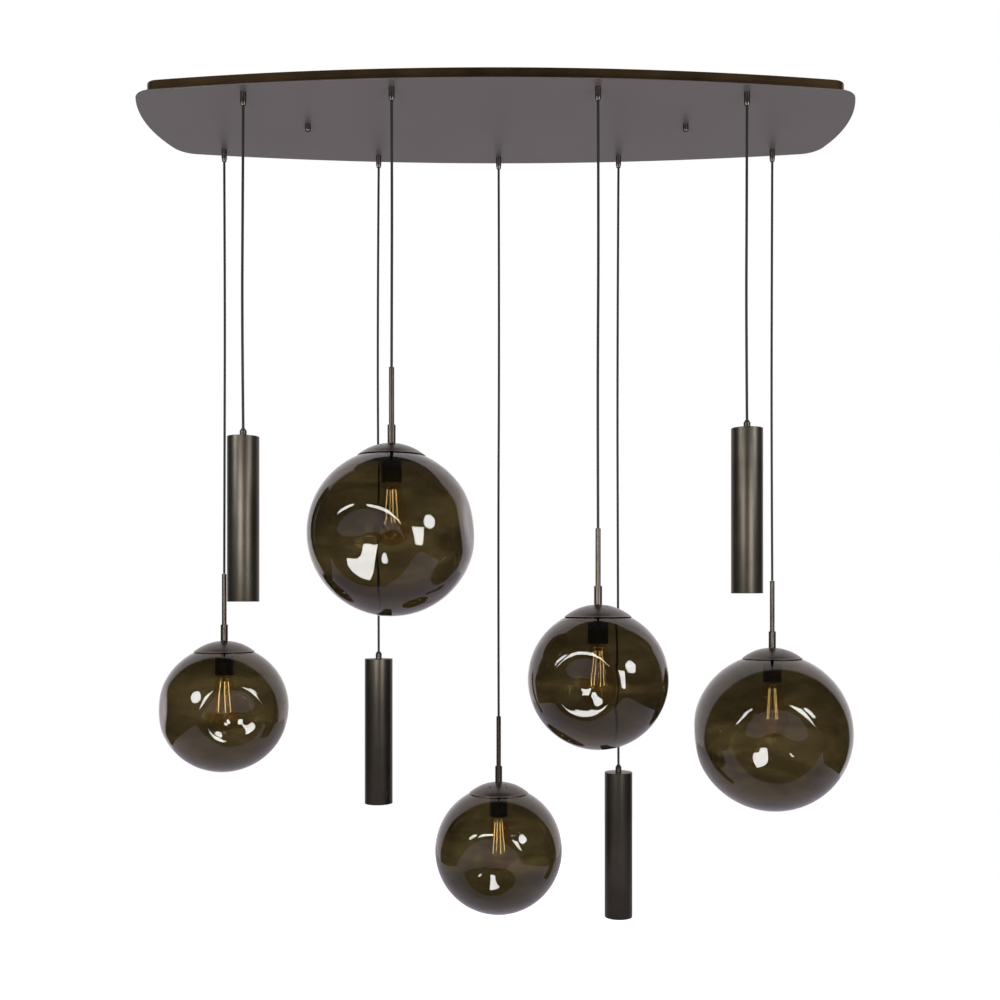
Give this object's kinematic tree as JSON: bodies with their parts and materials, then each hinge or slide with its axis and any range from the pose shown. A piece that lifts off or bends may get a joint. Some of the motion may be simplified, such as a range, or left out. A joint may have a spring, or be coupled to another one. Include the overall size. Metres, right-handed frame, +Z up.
{
  "type": "cluster pendant light",
  "caption": "Ceiling light with a long bowed canopy that carries dented smoked-glass globes and slim bronze tubes on black cords.",
  "frame": {"origin": "middle of the ceiling bracket's top face, where it meets the ceiling", "axes": "+Z up out of the ceiling face, +X along the canopy, +Y to the back, -Y is the front of the picture"},
  "size_m": [1.3992, 0.5946, 1.5976],
  "materials": {
    "bronze_satin": "satin brown-grey bronze lacquer on the canopy plate",
    "bronze_brushed": "brushed dark bronze on the canopy's upright wall",
    "bronze_dark": "satin dark bronze on caps, grips and nuts",
    "bronze_stem": "brushed bronze on stems and collars",
    "bronze_tube": "brushed dark bronze along the tubes",
    "zinc_steel": "zinc-plated steel",
    "terminal_plastic": "pale matt plastic",
    "holder_black": "black matt plastic",
    "cord_black": "black round cord",
    "smoked_glass": "smoked olive-brown blown glass, polished",
    "bulb_glass": "clear amber-tinted lamp glass",
    "lamp_ceramic": "pale ceramic holder and lamp body"
  },
  "bodies": {
    "canopy": {"canopy_plate": "bronze_satin", "canopy_frame": "bronze_brushed", "ceiling_bracket": "zinc_steel", "bracket_studs": "zinc_steel", "cap_nuts": "bronze_dark", "cord_grips": "bronze_dark", "grip_nuts": "zinc_steel", "terminal_blocks": "terminal_plastic", "canopy_leads": "cord_black"},
    "front_left_tube_line": {"front_left_tube_cord": "cord_black"},
    "front_left_tube_shade": {"front_left_tube_grip": "bronze_dark", "front_left_tube_housing": "bronze_tube", "front_left_tube_lamp": "lamp_ceramic"},
    "front_large_globe_line": {"front_large_globe_cord": "cord_black"},
    "front_large_globe_shade": {"front_large_globe_stem": "bronze_stem", "front_large_globe_collar": "bronze_stem", "front_large_globe_cap": "bronze_dark", "front_large_globe_glass": "smoked_glass", "front_large_globe_lampholder": "holder_black", "front_large_globe_bulb": "bulb_glass"},
    "front_small_globe_line": {"front_small_globe_cord": "cord_black"},
    "front_small_globe_shade": {"front_small_globe_stem": "bronze_stem", "front_small_globe_collar": "bronze_stem", "front_small_globe_cap": "bronze_dark", "front_small_globe_glass": "smoked_glass", "front_small_globe_lampholder": "holder_black", "front_small_globe_bulb": "bulb_glass"},
    "front_right_tube_line": {"front_right_tube_cord": "cord_black"},
    "front_right_tube_shade": {"front_right_tube_grip": "bronze_dark", "front_right_tube_housing": "bronze_tube", "front_right_tube_lamp": "lamp_ceramic"},
    "back_left_globe_line": {"back_left_globe_cord": "cord_black"},
    "back_left_globe_shade": {"back_left_globe_stem": "bronze_stem", "back_left_globe_collar": "bronze_stem", "back_left_globe_cap": "bronze_dark", "back_left_globe_glass": "smoked_glass", "back_left_globe_lampholder": "holder_black", "back_left_globe_bulb": "bulb_glass"},
    "back_left_tube_line": {"back_left_tube_cord": "cord_black"},
    "back_left_tube_shade": {"back_left_tube_grip": "bronze_dark", "back_left_tube_housing": "bronze_tube", "back_left_tube_lamp": "lamp_ceramic"},
    "back_middle_globe_line": {"back_middle_globe_cord": "cord_black"},
    "back_middle_globe_shade": {"back_middle_globe_stem": "bronze_stem", "back_middle_globe_collar": "bronze_stem", "back_middle_globe_cap": "bronze_dark", "back_middle_globe_glass": "smoked_glass", "back_middle_globe_lampholder": "holder_black", "back_middle_globe_bulb": "bulb_glass"},
    "back_right_tube_line": {"back_right_tube_cord": "cord_black"},
    "back_right_tube_shade": {"back_right_tube_grip": "bronze_dark", "back_right_tube_housing": "bronze_tube", "back_right_tube_lamp": "lamp_ceramic"},
    "back_right_globe_line": {"back_right_globe_cord": "cord_black"},
    "back_right_globe_shade": {"back_right_globe_stem": "bronze_stem", "back_right_globe_collar": "bronze_stem", "back_right_globe_cap": "bronze_dark", "back_right_globe_glass": "smoked_glass", "back_right_globe_lampholder": "holder_black", "back_right_globe_bulb": "bulb_glass"}
  },
  "joints": [
    {"name": "front_left_tube_swing", "type": "hinge", "parent": "canopy", "child": "front_left_tube_line", "pos_m": [-0.455, -0.13684, -0.0523], "axis": [0, 1, 0], "range_deg": [-5, 5]},
    {"name": "front_left_tube_tilt", "type": "hinge", "parent": "front_left_tube_line", "child": "front_left_tube_shade", "pos_m": [-0.455, -0.13684, -0.6343], "axis": [1, 0, 0], "range_deg": [-6, 6]},
    {"name": "front_large_globe_swing", "type": "hinge", "parent": "canopy", "child": "front_large_globe_line", "pos_m": [-0.1845, -0.15871, -0.0523], "axis": [0, 1, 0], "range_deg": [-5, 5]},
    {"name": "front_large_globe_tilt", "type": "hinge", "parent": "front_large_globe_line", "child": "front_large_globe_shade", "pos_m": [-0.1845, -0.15871, -0.5283], "axis": [1, 0, 0], "range_deg": [-6, 6]},
    {"name": "front_small_globe_swing", "type": "hinge", "parent": "canopy", "child": "front_small_globe_line", "pos_m": [0.1845, -0.15871, -0.0523], "axis": [0, 1, 0], "range_deg": [-5, 5]},
    {"name": "front_small_globe_tilt", "type": "hinge", "parent": "front_small_globe_line", "child": "front_small_globe_shade", "pos_m": [0.1845, -0.15871, -0.8163], "axis": [1, 0, 0], "range_deg": [-6, 6]},
    {"name": "front_right_tube_swing", "type": "hinge", "parent": "canopy", "child": "front_right_tube_line", "pos_m": [0.455, -0.13684, -0.0523], "axis": [0, 1, 0], "range_deg": [-5, 5]},
    {"name": "front_right_tube_tilt", "type": "hinge", "parent": "front_right_tube_line", "child": "front_right_tube_shade", "pos_m": [0.455, -0.13684, -0.6193], "axis": [1, 0, 0], "range_deg": [-6, 6]},
    {"name": "back_left_globe_swing", "type": "hinge", "parent": "canopy", "child": "back_left_globe_line", "pos_m": [-0.558, 0.12359, -0.0523], "axis": [0, 1, 0], "range_deg": [-5, 5]},
    {"name": "back_left_globe_tilt", "type": "hinge", "parent": "back_left_globe_line", "child": "back_left_globe_shade", "pos_m": [-0.558, 0.12359, -0.8913], "axis": [1, 0, 0], "range_deg": [-6, 6]},
    {"name": "back_left_tube_swing", "type": "hinge", "parent": "canopy", "child": "back_left_tube_line", "pos_m": [-0.2475, 0.15528, -0.0523], "axis": [0, 1, 0], "range_deg": [-5, 5]},
    {"name": "back_left_tube_tilt", "type": "hinge", "parent": "back_left_tube_line", "child": "back_left_tube_shade", "pos_m": [-0.2475, 0.15528, -1.0503], "axis": [1, 0, 0], "range_deg": [-6, 6]},
    {"name": "back_middle_globe_swing", "type": "hinge", "parent": "canopy", "child": "back_middle_globe_line", "pos_m": [0, 0.163, -0.0523], "axis": [0, 1, 0], "range_deg": [-3, 3]},
    {"name": "back_middle_globe_tilt", "type": "hinge", "parent": "back_middle_globe_line", "child": "back_middle_globe_shade", "pos_m": [0, 0.163, -1.1853], "axis": [1, 0, 0], "range_deg": [-6, 6]},
    {"name": "back_right_tube_swing", "type": "hinge", "parent": "canopy", "child": "back_right_tube_line", "pos_m": [0.2475, 0.15528, -0.0523], "axis": [0, 1, 0], "range_deg": [-3, 3]},
    {"name": "back_right_tube_tilt", "type": "hinge", "parent": "back_right_tube_line", "child": "back_right_tube_shade", "pos_m": [0.2475, 0.15528, -1.2843], "axis": [1, 0, 0], "range_deg": [-6, 6]},
    {"name": "back_right_globe_swing", "type": "hinge", "parent": "canopy", "child": "back_right_globe_line", "pos_m": [0.558, 0.12359, -0.0523], "axis": [0, 1, 0], "range_deg": [-5, 5]},
    {"name": "back_right_globe_tilt", "type": "hinge", "parent": "back_right_globe_line", "child": "back_right_globe_shade", "pos_m": [0.558, 0.12359, -0.9053], "axis": [1, 0, 0], "range_deg": [-6, 6]}
  ]
}
